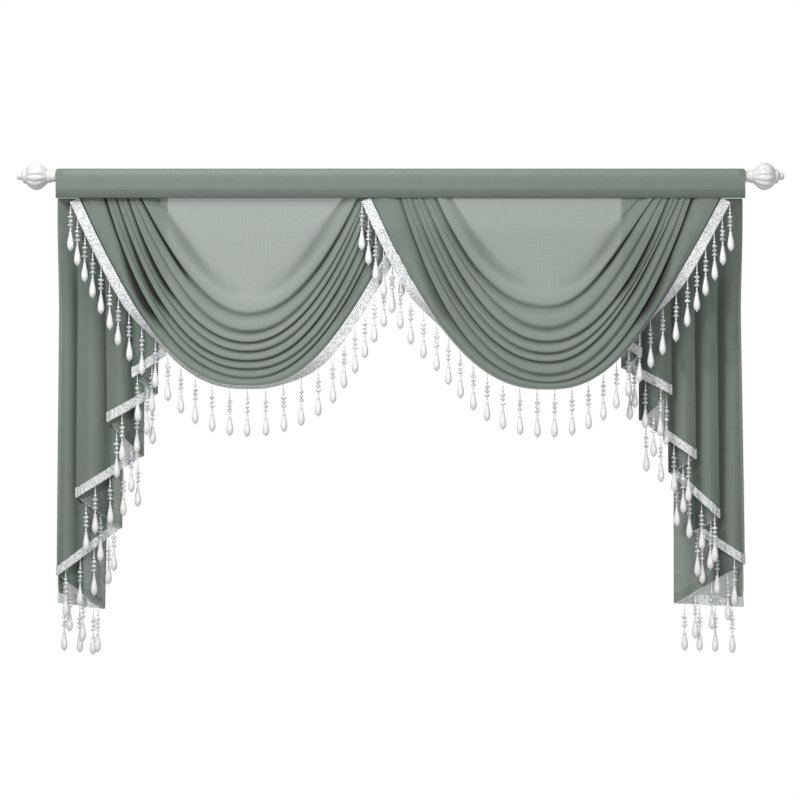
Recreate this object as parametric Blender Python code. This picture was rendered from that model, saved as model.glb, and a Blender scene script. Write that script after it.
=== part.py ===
"""Swag and tail drape on a rod.

A sheer sage valance: a rod pocket heading, two overlapping swags, a cascade tail at each side
and a braid with bead drops on every hem. It hangs on a plain white rod with two fluted finials.

Frame: the rod's middle is the origin, X runs along the rod, -Y is the room side, Z is up.
Sizes are in millimetres, times MM.
"""

import math

import bmesh
import bpy
import numpy as np
from mathutils import Matrix

MM = 0.001

# Rod and finials
ROD_RADIUS = 11.0 * MM
ROD_HALF_LENGTH = 549.7 * MM
ROD_SIDES = 32
FINIAL_START = 550.0 * MM
FINIAL_SIDES = 24
FLUTE_DEPTH = 0.08

# Cloth
CLOTH = 1.0 * MM
VALANCE_HALF_WIDTH = 550.0 * MM
POCKET_EASE = 0.8 * MM
SEAM_HEIGHT = -33.8 * MM
SEAM_FRONT = -11.5 * MM
SEAM_BACK = 12.3 * MM
SEAM_GAP = 0.4 * MM
POCKET_WAVE = 0.6 * MM
POCKET_SPANS = 10
POCKET_ARC_STEPS = 8
# Past this share of a sheet's thickness its corners aren't mitred any further.
LEAST_MITRE = 0.6

# Braid and bead drops
BRAID_WIDTH = 16.0 * MM
BRAID_GAP = 0.8 * MM
ROOT_WIDTH = 2.4 * MM

# Each finial is turned about the rod's axis, from its neck to its tip (mm).
FINIAL_COLUMNS = ("along", "radius", "fluted")
FINIAL = (
    (0.0, 9.2, 0),
    (8.5, 8.6, 0),
    (10.0, 10.4, 0),
    (12.5, 10.4, 0),
    (14.0, 9.6, 0),
    (19.0, 14.5, 1),
    (25.5, 20.0, 1),
    (33.5, 22.2, 1),
    (40.5, 20.4, 1),
    (46.0, 15.4, 1),
    (48.5, 11.0, 0),
    (53.5, 11.0, 0),
    (55.0, 5.7, 0),
    (62.5, 5.7, 0),
    (64.0, 4.2, 0),
)

# A bead drop from its root on the braid down to its tip (mm): crystals, cap, pearl.
DROP_COLUMNS = ("below", "radius")
DROP = (
    (19.0, 4.2),
    (37.0, 4.2),
    (48.0, 1.9),
    (66.0, 5.2),
)
DROP_TIP = 77.0 * MM

# Fold lines of a swag, a row for each, from the highest one to the hem (mm).
# left, right: where the line leaves the seam. drop: how far it hangs below the seam.
# bow: how square the curve hangs at its left end, in the middle and at its right end, 2 being a
# parabola.
# relief: how far the pleat under the line stands out at the seam, part way down and in the middle.
SWAG_COLUMNS = (
    "left", "drop", "right", "bow_left", "bow_middle", "bow_right",
    "relief_seam", "relief_side", "relief_middle",
)
LEFT_SWAG = (
    (-396, 156, -86, 1.50, 2.15, 1.70, 1.8, 3.0, 0.5),
    (-417, 191, -65, 1.90, 2.05, 2.00, 1.6, 3.2, 2.2),
    (-426, 219, -59, 2.10, 2.10, 2.10, 0.4, 0.9, 2.8),
    (-436, 234, -53, 2.50, 2.05, 2.20, 1.6, 3.4, 2.6),
    (-445, 248, -43, 2.30, 2.20, 2.15, 0.4, 0.8, 2.6),
    (-454, 263, -33, 2.50, 2.30, 2.10, 1.6, 4.0, 2.4),
    (-462, 276, -22, 2.40, 2.25, 2.30, 0.4, 0.8, 2.2),
    (-471, 291, -12, 2.70, 2.10, 2.10, 1.6, 3.6, 1.2),
    (-513, 301, 30, 1.95, 2.45, 1.45, 0.0, 0.0, 0.0),
)
RIGHT_SWAG = (
    (75, 146, 390, 2.10, 2.40, 1.30, 1.8, 3.0, 0.5),
    (54, 180, 405, 2.40, 2.15, 1.30, 1.6, 3.2, 2.2),
    (45, 215, 418, 1.80, 2.00, 1.80, 0.4, 0.8, 2.8),
    (36, 234, 428, 2.20, 2.10, 2.10, 1.6, 3.4, 2.6),
    (26, 252, 436, 2.20, 2.10, 1.90, 0.4, 0.7, 2.6),
    (18, 265, 445, 2.30, 2.15, 1.75, 1.6, 4.0, 2.4),
    (9, 287, 455, 2.30, 2.10, 2.05, 0.4, 0.7, 2.2),
    (0, 297, 465, 2.70, 2.20, 2.20, 1.6, 3.6, 1.2),
    (-47, 306, 512, 2.10, 2.35, 1.60, 0.0, 0.0, 0.0),
)
# How far a pleat's edge falls over the next pleat, for each mm that it stands out.
LAP_SEAM = 2.2
LAP_MIDDLE = 0.6

# How a swag stands in the stack of cloth (mm): seam_depth is its place in the seam, lead how
# far it comes forward just under the seam, belly how far its hem hangs forward, drops its number
# of bead drops, turn_under how far its braid turns under at the bottom (degrees), turn_left and
# turn_right where it is half turned on each side, as a share of half a hem, lean how far forward
# the tips of its highest bead drops rest, against the cloth behind them.
SWAG_STAND_COLUMNS = ("seam_depth", "lead", "belly", "drops", "turn_under", "turn_left", "turn_right", "lean")
LEFT_STAND = (-4.0, 3.0, 26.0, 31, 72.0, 0.50, 0.75, 3.0)
RIGHT_STAND = (-9.2, 12.0, 30.0, 32, 86.0, 0.42, 0.40, 10.0)
LEAD_REACH = 60.0 * MM
BELLY_REACH = 300.0 * MM
LEAN_REACH = 90.0 * MM
FLAT_TOP_INSET = 24.0
SIDE_PLACE = 0.55
FLAT_TOP_SHARES = (0.0, 0.3, 0.65)
# Places in a pleat's wave (degrees).
CREASE_PHASE = 180.0
LEVEL_PHASE = 270.0
UPPER_FACE_PHASE = 275.0
EDGE_PHASE = 360.0
PLEAT_PHASES = (CREASE_PHASE, UPPER_FACE_PHASE, EDGE_PHASE)
CURVE_SAMPLES = 241
# The share of half a hem over which the braid turns under.
TURN_SPAN = 0.28

# Folds of a tail in order from the room side to the wall side, a row for each (mm).
# top, hem: distance of the fold from the rod's middle at the seam and at the hem.
# drop: how far the hem hangs below the seam there. count, first, step: the bead drops on the
# layer that starts at this fold, and their places along its hem, clear of the next layer's drops.
TAIL_COLUMNS = ("top", "hem", "drop", "count", "first", "step")
LEFT_TAIL = (
    (-372, -372, 236, 2, 27, 28),
    (-429, -430, 270, 1, 27, 0),
    (-384, -389, 298, 3, 8, 28),
    (-477, -472, 342, 2, 22, 33),
    (-410, -413, 398, 4, 9, 28),
    (-518, -524, 464, 3, 20, 29),
    (-444, -449, 514, 4, 27, 30),
    (-550, -557, 591, 3, 27, 30),
    (-465, -479, 646, 3, 17, 26),
    (-550, -559, 636, 0, 0, 0),
)
RIGHT_TAIL = (
    (352, 352, 220, 1, 12, 0),
    (387, 386, 238, 1, 10, 0),
    (356, 354, 256, 3, 14, 28),
    (434, 436, 298, 2, 10, 29),
    (384, 384, 340, 4, 11, 29),
    (472, 477, 402, 1, 25, 0),
    (428, 433, 425, 4, 15, 29),
    (510, 517, 498, 2, 17, 25),
    (466, 473, 520, 3, 17, 33),
    (549, 560, 574, 3, 32, 32),
    (444, 445, 638, 4, 15, 28),
    (550, 562, 644, 0, 0, 0),
)
TAIL_DEPTH = 0.2 * MM
LAYER_PITCH_TOP = 1.4 * MM
LAYER_PITCH_HEM = 7.0 * MM
LAYER_OPEN_REACH = 200.0 * MM
TAIL_LEVELS = (0.0, 0.25, 0.5, 0.75, 1.0, 2.0)
FOLD_DRAW_IN = 0.4
POINTS_PER_LAYER = 4

SAGE = (0.47, 0.52, 0.48, 0.6)
SAGE_DARK = (0.42, 0.47, 0.43, 0.6)
WHITE = (0.93, 0.93, 0.92, 1.0)
SILVER = (0.86, 0.87, 0.88, 1.0)


def clear_scene():
    for item in list(bpy.data.objects):
        bpy.data.objects.remove(item, do_unlink=True)


def make_material(name, colour, roughness, metallic=0.0):
    material = bpy.data.materials.new(name)
    material.use_nodes = True
    shader = material.node_tree.nodes["Principled BSDF"]
    shader.inputs["Base Color"].default_value = (*colour[:3], 1.0)
    shader.inputs["Alpha"].default_value = colour[3]
    shader.inputs["Roughness"].default_value = roughness
    shader.inputs["Metallic"].default_value = metallic
    return material


def add_mesh(name, points, faces, material, sharp_degrees):
    mesh = bpy.data.meshes.new(name)
    mesh.from_pydata([tuple(point) for point in points], [], faces)
    mesh.materials.append(material)
    mesh.shade_smooth()
    mesh.set_sharp_from_angle(angle=math.radians(sharp_degrees))
    item = bpy.data.objects.new(name, mesh)
    bpy.context.scene.collection.objects.link(item)
    return item


def named_rows(columns, rows):
    return [dict(zip(columns, row)) for row in rows]


def ease(value):
    """A smooth step from 0 to 1."""
    inside = np.clip(value, 0.0, 1.0)
    return inside * inside * (3.0 - 2.0 * inside)


def unit(vectors):
    return vectors / np.linalg.norm(vectors, axis=-1, keepdims=True)


def offset_directions(grid):
    """Directions that keep a sheet's thickness even over its folds, one for each grid point."""
    rows, columns = grid.shape[:2]
    total = np.zeros_like(grid)
    count = np.zeros((rows, columns, 1))
    across = grid[1:, 1:] - grid[:-1, :-1]
    along = grid[:-1, 1:] - grid[1:, :-1]
    normals = unit(np.cross(across, along))
    for row_shift in (0, 1):
        for column_shift in (0, 1):
            window = (slice(row_shift, rows - 1 + row_shift), slice(column_shift, columns - 1 + column_shift))
            total[window] += normals
            count[window] += 1.0
    mean = total / count
    size = np.linalg.norm(mean, axis=-1, keepdims=True)
    return mean / np.maximum(size, LEAST_MITRE) ** 2


def sheet_solid(grid, open_roots=()):
    """A closed sheet of even thickness about a grid of points.

    The grid's rows run down the sheet. At each column in open_roots the face on the lower edge
    is left out, and its four corners are returned for what grows from there.
    """
    rows, columns = grid.shape[:2]
    shift = offset_directions(grid) * (CLOTH / 2.0)
    shift[grid[..., 2] > SEAM_HEIGHT - 2.0 * SEAM_GAP, 2] = 0.0
    points = list((grid + shift).reshape(-1, 3)) + list((grid - shift).reshape(-1, 3))
    behind = rows * columns

    def corner(row, column):
        return row * columns + column

    faces = []
    for row in range(rows - 1):
        for column in range(columns - 1):
            upper, lower = corner(row, column), corner(row + 1, column)
            for triangle in ((upper, upper + 1, lower + 1), (upper, lower + 1, lower)):
                faces.append(triangle)
                faces.append(tuple(behind + index for index in reversed(triangle)))
    rim = [(corner(0, c + 1), corner(0, c)) for c in range(columns - 1)]
    rim += [(corner(r, 0), corner(r + 1, 0)) for r in range(rows - 1)]
    rim += [(corner(r + 1, columns - 1), corner(r, columns - 1)) for r in range(rows - 1)]
    faces += [(first, second, behind + second, behind + first) for first, second in rim]
    roots = []
    for column in range(columns - 1):
        first = corner(rows - 1, column)
        second = first + 1
        if column in open_roots:
            roots.append((first, second, behind + second, behind + first))
        else:
            faces.append((first, second, behind + second, behind + first))
    return points, faces, roots


def orient_outward(item):
    work = bmesh.new()
    work.from_mesh(item.data)
    bmesh.ops.recalc_face_normals(work, faces=work.faces)
    work.to_mesh(item.data)
    work.free()


# ---------------------------------------------------------------- rod, finials and heading


def build_rod(material):
    mesh = bpy.data.meshes.new("rod")
    work = bmesh.new()
    bmesh.ops.create_cone(
        work, cap_ends=True, segments=ROD_SIDES, radius1=ROD_RADIUS, radius2=ROD_RADIUS,
        depth=2.0 * ROD_HALF_LENGTH, matrix=Matrix.Rotation(math.pi / 2.0, 4, "Y"),
    )
    work.to_mesh(mesh)
    work.free()
    mesh.materials.append(material)
    mesh.shade_smooth()
    mesh.set_sharp_from_angle(angle=math.radians(40.0))
    item = bpy.data.objects.new("rod", mesh)
    bpy.context.scene.collection.objects.link(item)


def build_finial(name, side, material):
    """A turned ball finial with shallow flutes. Its side is +1 for the right end, -1 for the left."""
    stages = named_rows(FINIAL_COLUMNS, FINIAL)
    points = []
    for stage in stages:
        for step in range(FINIAL_SIDES):
            groove = FLUTE_DEPTH * stage["fluted"] * (step % 2)
            radius = stage["radius"] * MM * (1.0 - groove)
            turn = 2.0 * math.pi * step / FINIAL_SIDES
            along = side * (FINIAL_START + stage["along"] * MM)
            points.append((along, radius * math.cos(turn), radius * math.sin(turn)))
    faces = []
    for ring in range(len(stages) - 1):
        for step in range(FINIAL_SIDES):
            first = ring * FINIAL_SIDES + step
            second = ring * FINIAL_SIDES + (step + 1) % FINIAL_SIDES
            faces.append((first, second, second + FINIAL_SIDES, first + FINIAL_SIDES))
    faces.append(tuple(range(FINIAL_SIDES)))
    faces.append(tuple(range((len(stages) - 1) * FINIAL_SIDES, len(stages) * FINIAL_SIDES)))
    orient_outward(add_mesh(name, points, faces, material, 35.0))


def pocket_section(offset):
    """The pocket's section in Y and Z: over the rod and down to a flat seam strip."""
    radius = ROD_RADIUS + POCKET_EASE + CLOTH / 2.0 + offset
    over_rod = [math.pi * (1.0 - step / POCKET_ARC_STEPS) for step in range(POCKET_ARC_STEPS + 1)]
    section = [(radius * math.cos(turn), radius * math.sin(turn)) for turn in over_rod]
    floor = SEAM_HEIGHT + CLOTH / 2.0 - offset
    section.append((SEAM_BACK + offset, floor))
    section.append((SEAM_FRONT - offset, floor))
    return section


def build_heading(material):
    points = []
    loop = len(pocket_section(0.0))
    for span in range(POCKET_SPANS + 1):
        along = VALANCE_HALF_WIDTH * (2.0 * span / POCKET_SPANS - 1.0)
        wave = POCKET_WAVE * math.cos(math.pi * span)
        for offset in (CLOTH / 2.0, -CLOTH / 2.0):
            for index, (depth, height) in enumerate(pocket_section(offset)):
                at_rod_side = index in (0, POCKET_ARC_STEPS)
                points.append((along, depth + (wave * (depth < 0) - wave * (depth > 0)) * at_rod_side, height))
    ring = 2 * loop
    faces = []
    for span in range(POCKET_SPANS):
        for step in range(loop):
            for start in (0, loop):
                first = span * ring + start + step
                second = span * ring + start + (step + 1) % loop
                quad = (first, second, second + ring, first + ring)
                faces.append(quad if start == 0 else tuple(reversed(quad)))
    for end in (0, POCKET_SPANS * ring):
        for step in range(loop):
            after = (step + 1) % loop
            faces.append((end + step, end + after, end + loop + after, end + loop + step))
    orient_outward(add_mesh("heading", points, faces, material, 50.0))


# ---------------------------------------------------------------- swags


def swag_row(upper, lower, share, phase, ends, stand):
    """One row of a swag's grid, part way from one fold line to the next.

    share: how far down from the upper line. phase: place in the pleat's wave in degrees, 180 in
    the crease and 360 at the pleat's edge. ends: places along the row, 0 at the left seam.
    """
    def blend(column):
        return upper[column] + (lower[column] - upper[column]) * share

    inside = np.linspace(0.0, 1.0, CURVE_SAMPLES)
    edge = np.abs(2.0 * inside - 1.0)
    bow_end = np.where(inside < 0.5, blend("bow_left"), blend("bow_right"))
    bow = blend("bow_middle") + (bow_end - blend("bow_middle")) * edge
    x_line = (blend("left") + (blend("right") - blend("left")) * inside) * MM
    fall_line = blend("drop") * (1.0 - edge ** bow) * MM
    length = np.concatenate(([0.0], np.cumsum(np.hypot(np.diff(x_line), np.diff(fall_line)))))
    places = ends * length[-1]
    x = np.interp(places, length, x_line)
    fall = np.interp(places, length, fall_line)
    slope_x = np.interp(places, length, np.gradient(x_line, length))
    slope_fall = np.interp(places, length, np.gradient(fall_line, length))

    seam_share = np.abs(2.0 * ends - 1.0)
    relief = np.interp(
        seam_share, (0.0, SIDE_PLACE, 1.0), (upper["relief_middle"], upper["relief_side"], upper["relief_seam"]),
    ) * MM
    lap = relief * (LAP_MIDDLE + (LAP_SEAM - LAP_MIDDLE) * seam_share ** 2)
    wave = math.cos(math.radians(phase))
    out_x = -slope_fall * lap * wave
    out_fall = slope_x * lap * wave
    fall_shown = np.where((ends > 0.0) & (ends < 1.0), np.maximum(fall + out_fall, 0.0), 0.0)
    depth = stand["seam_depth"] * MM - stand["lead"] * MM * ease(fall / LEAD_REACH)
    depth = depth - stand["belly"] * MM * (fall / BELLY_REACH) ** 2 - relief * wave
    top = SEAM_HEIGHT - SEAM_GAP
    return np.stack((x + out_x, depth, top - fall_shown), axis=-1)


def swag_grid(table, stand, columns):
    """The swag's middle surface: a flat top, then its pleats, then the hem."""
    lines = named_rows(SWAG_COLUMNS, table)
    ends = np.linspace(0.0, 1.0, columns)
    first = lines[0]
    seam = dict(first, left=first["left"] + FLAT_TOP_INSET, right=first["right"] - FLAT_TOP_INSET)
    seam.update(drop=0.0, relief_seam=0.0, relief_side=0.0, relief_middle=0.0)
    grid = [swag_row(seam, first, share, LEVEL_PHASE, ends, stand) for share in FLAT_TOP_SHARES]
    for upper, lower in zip(lines[:-1], lines[1:]):
        for phase in PLEAT_PHASES:
            grid.append(swag_row(upper, lower, (phase - CREASE_PHASE) / 360.0, phase, ends, stand))
    grid.append(swag_row(lines[-1], lines[-1], 0.0, LEVEL_PHASE, ends, stand))
    return np.array(grid)


def swag_braid(hem, stand):
    """The direction across the braid, at each point of a swag's hem."""
    tangent = unit(np.gradient(hem, axis=0))
    outward = unit(np.stack((tangent[:, 2], 0.0 * tangent[:, 0], -tangent[:, 0]), axis=-1))
    places = np.linspace(-1.0, 1.0, len(hem))
    half_turned = np.where(places < 0.0, stand["turn_left"], stand["turn_right"])
    turned = ease((1.0 - np.abs(places) - half_turned) / TURN_SPAN + 0.5)
    turn = math.radians(stand["turn_under"]) * turned
    back = np.array((0.0, 1.0, 0.0))
    across = outward * np.cos(turn)[:, None] + back * np.sin(turn)[:, None]
    across = across - tangent * np.sum(across * tangent, axis=-1, keepdims=True)
    return unit(across)


# ---------------------------------------------------------------- tails


def layer_pitch(fall):
    """The distance between two layers of a tail: tight in the seam, open further down."""
    return LAYER_PITCH_TOP + (LAYER_PITCH_HEM - LAYER_PITCH_TOP) * ease(fall / LAYER_OPEN_REACH)


def tail_point(start, end, place, layer, level):
    """A point of a layer, at a place from its start fold (0) to its end fold (1).

    level: how far below the seam, up to 1 where the layers are fully open, and 2 at the hem.
    """
    def at_place(column):
        return (start[column] + (end[column] - start[column]) * place) * MM

    open_fall = LAYER_OPEN_REACH * min(level, 1.0)
    fall = open_fall + (at_place("drop") - LAYER_OPEN_REACH) * max(level - 1.0, 0.0)
    x = at_place("top") + (at_place("hem") - at_place("top")) * fall / at_place("drop")
    return x, fall, TAIL_DEPTH + layer * layer_pitch(fall)


def tail_grid(table):
    """The tail's middle surface, folded back and forth from the room side to the wall side."""
    folds = named_rows(TAIL_COLUMNS, table)
    grid = []
    for level in TAIL_LEVELS:
        line = []
        for layer, (start, end) in enumerate(zip(folds[:-1], folds[1:])):
            way = math.copysign(1.0, end["hem"] - start["hem"])
            for place in (0.0, 0.5, 1.0):
                x, fall, depth = tail_point(start, end, place, layer, level)
                draw_in = layer_pitch(fall) * FOLD_DRAW_IN * (1.0 - 2.0 * place)
                line.append((x + way * draw_in, fall, depth))
            if end is not folds[-1]:
                x, fall, depth = tail_point(start, end, 1.0, layer, level)
                line.append((x, fall, depth + layer_pitch(fall) / 2.0))
        grid.append([(x, depth, SEAM_HEIGHT - SEAM_GAP - fall) for x, fall, depth in line])
    return np.array(grid)


# ---------------------------------------------------------------- braid and bead drops


def braid_stations(knots, roots):
    """Places along the braid: each root's two sides, and the knots that no root covers."""
    stations = []
    for root in roots:
        stations += [(root - ROOT_WIDTH / 2.0, True), (root + ROOT_WIDTH / 2.0, False)]
    for knot in knots:
        if all(abs(knot - root) > ROOT_WIDTH for root in roots):
            stations.append((knot, False))
    stations.sort()
    return stations


def build_fringe(name, hem, across, roots, lean, material):
    """A braid strip under a hem, with a bead drop fused to its lower edge at each root.

    lean: how far forward the tips of the highest drops rest.
    """
    length = np.concatenate(([0.0], np.cumsum(np.linalg.norm(np.diff(hem, axis=0), axis=1))))
    stations = braid_stations(length, roots)
    places = np.array([place for place, opens in stations])
    edge = np.stack([np.interp(places, length, hem[:, axis]) for axis in range(3)], axis=-1)
    side = unit(np.stack([np.interp(places, length, across[:, axis]) for axis in range(3)], axis=-1))
    inner = edge + side * BRAID_GAP
    outer = edge + side * (BRAID_GAP + BRAID_WIDTH)
    open_roots = [index for index, (place, opens) in enumerate(stations) if opens]
    points, faces, quads = sheet_solid(np.array((inner, outer)), open_roots)
    for ring in quads:
        corners = np.array([points[index] for index in ring])
        centre = corners.mean(axis=0)
        side_x = math.copysign(1.0, corners[1][0] - corners[0][0])
        side_y = math.copysign(1.0, np.sum((corners[0] - corners[3])[1:]))
        square = ((-side_x, side_y), (side_x, side_y), (side_x, -side_y), (-side_x, -side_y))
        around = [((x + y) / 2.0, (y - x) / 2.0) for x, y in square]
        tip_lean = lean * MM * (1.0 - ease((SEAM_HEIGHT - centre[2]) / LEAN_REACH))
        for stage in named_rows(DROP_COLUMNS, DROP):
            radius = stage["radius"] * MM
            below = stage["below"] * MM
            middle = centre + np.array((0.0, -tip_lean * below / DROP_TIP, -below))
            start = len(points)
            for turn_x, turn_y in around:
                points.append(middle + np.array((turn_x * radius, turn_y * radius, 0.0)))
            faces += [
                (ring[step], ring[(step + 1) % 4], start + (step + 1) % 4, start + step) for step in range(4)
            ]
            ring = [start + step for step in range(4)]
        points.append(centre + np.array((0.0, -tip_lean, -DROP_TIP)))
        faces += [(ring[step], ring[(step + 1) % 4], len(points) - 1) for step in range(4)]
    orient_outward(add_mesh(name, points, faces, material, 30.0))


def build_swag(side, table, stand_row, cloth, trim):
    stand = dict(zip(SWAG_STAND_COLUMNS, stand_row))
    grid = swag_grid(table, stand, stand["drops"])
    points, faces, _ = sheet_solid(grid)
    orient_outward(add_mesh("swag_" + side, points, faces, cloth, 60.0))
    hem = grid[-1]
    steps = np.linalg.norm(np.diff(hem, axis=0), axis=1)
    roots = list(np.concatenate(([0.0], np.cumsum(steps))))
    roots[0] += ROOT_WIDTH
    roots[-1] -= ROOT_WIDTH
    build_fringe("fringe_swag_" + side, hem, swag_braid(hem, stand), roots, stand["lean"], trim)


def build_tail(side, table, cloth, trim):
    grid = tail_grid(table)
    points, faces, _ = sheet_solid(grid)
    orient_outward(add_mesh("tail_" + side, points, faces, cloth, 50.0))
    hem = grid[-1]
    steps = np.linalg.norm(np.diff(hem, axis=0), axis=1)
    fold_places = np.concatenate(([0.0], np.cumsum(steps)))[::POINTS_PER_LAYER]
    roots = []
    for place, fold in zip(fold_places, named_rows(TAIL_COLUMNS, table)):
        roots += [place + (fold["first"] + fold["step"] * index) * MM for index in range(fold["count"])]
    down = unit(grid[-1] - grid[-2])
    build_fringe("fringe_tail_" + side, hem, down, roots, 0.0, trim)


def main():
    clear_scene()
    build_rod(make_material("rod_enamel", WHITE, 0.35))
    build_heading(make_material("heading_voile", SAGE, 0.8))
    for side, way, swag, stand, tail in (
        ("left", -1, LEFT_SWAG, LEFT_STAND, LEFT_TAIL),
        ("right", 1, RIGHT_SWAG, RIGHT_STAND, RIGHT_TAIL),
    ):
        build_finial("finial_" + side, way, make_material("finial_resin_" + side, WHITE, 0.3))
        swag_cloth = make_material("swag_voile_" + side, SAGE, 0.8)
        swag_trim = make_material("swag_trim_" + side, SILVER, 0.4)
        build_swag(side, swag, stand, swag_cloth, swag_trim)
        tail_cloth = make_material("tail_voile_" + side, SAGE_DARK, 0.8)
        tail_trim = make_material("tail_trim_" + side, SILVER, 0.4)
        build_tail(side, tail, tail_cloth, tail_trim)


main()
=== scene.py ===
"""Looks of a swag and tail drape on a rod.

Sheer sage voile with a rod pocket, two pleated swags and two folded tails, a plaited silver
braid with crystal and pearl drops on every hem, and a plain white rod with fluted finials.
"""

import math
import random

import bpy
import numpy as np
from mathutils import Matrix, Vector


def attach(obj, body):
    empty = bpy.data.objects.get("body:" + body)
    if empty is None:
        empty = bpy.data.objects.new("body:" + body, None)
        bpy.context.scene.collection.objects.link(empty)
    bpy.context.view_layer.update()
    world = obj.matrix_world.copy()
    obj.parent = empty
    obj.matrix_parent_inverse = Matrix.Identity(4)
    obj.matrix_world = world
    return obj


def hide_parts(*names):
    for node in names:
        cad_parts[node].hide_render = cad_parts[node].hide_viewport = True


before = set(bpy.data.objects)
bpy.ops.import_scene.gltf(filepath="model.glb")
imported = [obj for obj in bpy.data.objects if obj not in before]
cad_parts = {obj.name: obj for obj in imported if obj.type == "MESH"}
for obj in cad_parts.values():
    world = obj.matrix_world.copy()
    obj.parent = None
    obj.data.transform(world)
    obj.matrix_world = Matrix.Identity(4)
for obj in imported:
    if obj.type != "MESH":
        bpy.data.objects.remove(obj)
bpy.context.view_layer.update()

MM = 0.001

# ---------------------------------------------------------------- sizes

ROD_RADIUS = 11.0 * MM
VALANCE_HALF_WIDTH = 550.0 * MM

# The rod pocket: its ease on the rod, the middle of its wall, and the seam that closes it.
POCKET_EASE = 0.8 * MM
POCKET_MIDDLE = 0.5 * MM
SEAM_HEIGHT = -33.8 * MM
SEAM_FRONT = -11.5 * MM
SEAM_BACK = 12.3 * MM
# The swags and tails start this far below the seam.
SEAM_GAP = 0.4 * MM

# The thickness of one ply of voile.
VOILE = 0.3 * MM
# The hem turned in at each end of the pocket: its width, how finely it is drawn and how far inside
# the pocket's wall it lies.
SIDE_HEM = 11.0 * MM
SIDE_HEM_COLUMNS = 4
HEM_GAP = 0.5 * MM
# The seam allowance inside the pocket: its top edge, how far above the seam it stops, its inset at
# each end and how finely it is drawn.
ALLOWANCE_TOP = -17.0 * MM
ALLOWANCE_ABOVE_SEAM = 1.2 * MM
ALLOWANCE_INSET = 1.0 * MM
ALLOWANCE_ROWS = 8
ALLOWANCE_COLUMNS = 111
# The pocket's top sinks a little at its two ends.
CORNER_DROP = 0.9 * MM
CORNER_LENGTH = 5.0 * MM
# Small waves along the pocket's hanging sides: a share of the ripple's height, radians to a metre
# and a start.
POCKET_RIPPLE = 0.25 * MM
RIPPLES = ((1.0, 61.0, 0.0), (0.6, 143.0, 1.3))
# The pocket's front edge laps over the seam.
LIP_DROP = 2.2 * MM
LIP_WIDTH = 0.8 * MM
# How finely the pocket is drawn: along the rod, over it, down a side and across the seam.
POCKET_COLUMNS = 331
OVER_STEPS = 24
SIDE_STEPS = 13
SEAM_STEPS = 7
# The plies of voile at these heights (mm): at the lip, the seam, the gathered allowance and its
# top edge, then up the front of the rod to the pocket's top. Past PLIES_LIT they also darken the
# cloth's colour as painted shade, most on the lip and at the seam.
POCKET_HEIGHTS = (-35.4, -33.5, -23.0, -18.0, -5.0, -2.0, 11.0, 12.4)
POCKET_PLIES = (6.6, 5.4, 4.1, 2.1, 1.8, 1.15, 1.2, 3.4)

# The camera faces the drape. A pixel is 1.6 mm at the rod.
CAMERA_LENS = 100.0
CAMERA_SENSOR = 36.0
VIEW_WIDTH = 1280.0 * MM
VIEW_CENTRE = Vector((-0.0008, 0.0, -0.3578))

# Fold lines of a swag, a row for each, from the highest one to the hem (mm).
# left, right: where the line leaves the seam. drop: how far it hangs below the seam.
# bow: how square the curve hangs at its left end, in the middle and at its right end, 2 being a
# parabola.
# relief: how far the pleat under the line stands out at the seam, at the side and in the middle.
SWAG_COLUMNS = (
    "left", "drop", "right", "bow_left", "bow_middle", "bow_right",
    "relief_seam", "relief_side", "relief_middle",
)
LEFT_SWAG = (
    (-396, 156, -86, 1.50, 2.15, 1.70, 1.8, 3.0, 0.5),
    (-417, 191, -65, 1.90, 2.05, 2.00, 1.6, 3.2, 2.2),
    (-426, 219, -59, 2.10, 2.10, 2.10, 0.4, 0.9, 2.8),
    (-436, 234, -53, 2.50, 2.05, 2.20, 1.6, 3.4, 2.6),
    (-445, 248, -43, 2.30, 2.20, 2.15, 0.4, 0.8, 2.6),
    (-454, 263, -33, 2.50, 2.30, 2.10, 1.6, 4.0, 2.4),
    (-462, 276, -22, 2.40, 2.25, 2.30, 0.4, 0.8, 2.2),
    (-471, 291, -12, 2.70, 2.10, 2.10, 1.6, 3.6, 1.2),
    (-513, 301, 30, 1.95, 2.45, 1.45, 0.0, 0.0, 0.0),
)
RIGHT_SWAG = (
    (75, 146, 390, 2.10, 2.40, 1.30, 1.8, 3.0, 0.5),
    (54, 180, 405, 2.40, 2.15, 1.30, 1.6, 3.2, 2.2),
    (45, 215, 418, 1.80, 2.00, 1.80, 0.4, 0.8, 2.8),
    (36, 234, 428, 2.20, 2.10, 2.10, 1.6, 3.4, 2.6),
    (26, 252, 436, 2.20, 2.10, 1.90, 0.4, 0.7, 2.6),
    (18, 265, 445, 2.30, 2.15, 1.75, 1.6, 4.0, 2.4),
    (9, 287, 455, 2.30, 2.10, 2.05, 0.4, 0.7, 2.2),
    (0, 297, 465, 2.70, 2.20, 2.20, 1.6, 3.6, 1.2),
    (-47, 306, 512, 2.10, 2.35, 1.60, 0.0, 0.0, 0.0),
)
# Where relief_side holds: 1 at the seam and 0 in the middle.
SIDE_PLACE = 0.55
# The flat top is this much narrower at each end than the first fold line (mm).
FLAT_TOP_INSET = 24.0
# From this share of the way down it, the flat top's plies change to those of the pleats.
FLAT_UNTIL = 0.8
# How far a pleat laps over the next one, in times its relief.
LAP_SEAM = 2.2
LAP_MIDDLE = 0.6
# Places and steps in a pleat's wave, in degrees.
CREASE_PHASE = 180.0
HALF_WAVE = 180.0
QUARTER_WAVE = 90.0
# Pleats are broad and their creases narrow, and a crease lies deeper than a pleat stands out.
CREASE_SHARPNESS = 2.2
CREASE_DEEPER = 0.8
# How many plies of voile lie on each other, at shares of the way down the pleats, in the middle
# and at the sides, where the pleats are drawn together.
PLIES_DOWN = (0.0, 0.125, 1.0)
PLIES_MIDDLE = (1.05, 1.7, 2.9)
PLIES_SIDE = (1.4, 2.6, 3.0)
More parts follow.
